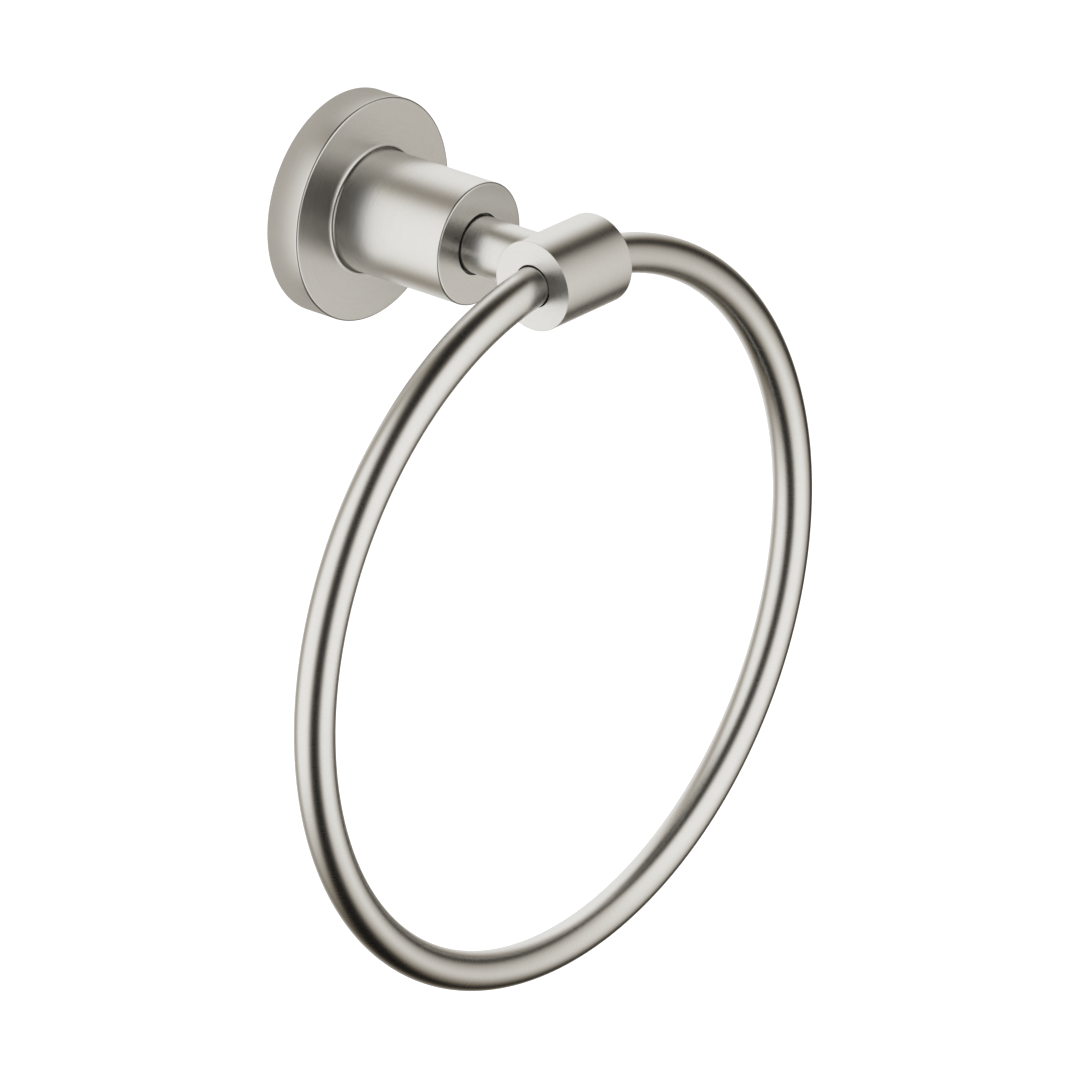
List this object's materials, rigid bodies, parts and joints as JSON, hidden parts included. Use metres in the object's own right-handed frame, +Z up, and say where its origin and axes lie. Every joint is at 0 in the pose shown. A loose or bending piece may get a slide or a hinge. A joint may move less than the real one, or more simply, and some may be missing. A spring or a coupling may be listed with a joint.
{
  "type": "towel ring",
  "caption": "Wall-mounted towel ring in satin nickel: a round flange and post carry a short cross barrel, and a round rod ring swings freely through the barrel's bore.",
  "frame": {"origin": "centre of the flange's back face, on the wall, midway between the wall screws", "axes": "+Y into the wall, so the fitting stands out along -Y; X along the wall; +Z up"},
  "size_m": [0.1836, 0.0777, 0.2051],
  "materials": {
    "satin_nickel": "brushed nickel plate, warm grey, satin",
    "bracket_steel": "zinc plated steel, satin",
    "screw_steel": "stainless steel, plain"
  },
  "bodies": {
    "wall_mount": {"wall_bracket": "bracket_steel", "wall_flange": "satin_nickel", "flange_set_screw": "screw_steel", "post": "satin_nickel", "post_screw": "screw_steel", "stem_stud": "screw_steel", "stem": "satin_nickel", "barrel": "satin_nickel"},
    "hanging_ring": {"ring": "satin_nickel"}
  },
  "joints": [
    {"name": "ring_swing", "type": "hinge", "parent": "wall_mount", "child": "hanging_ring", "pos_m": [0, -0.06685, 0], "axis": [1, 0, 0], "range_deg": [-200.5, 20.5]}
  ]
}
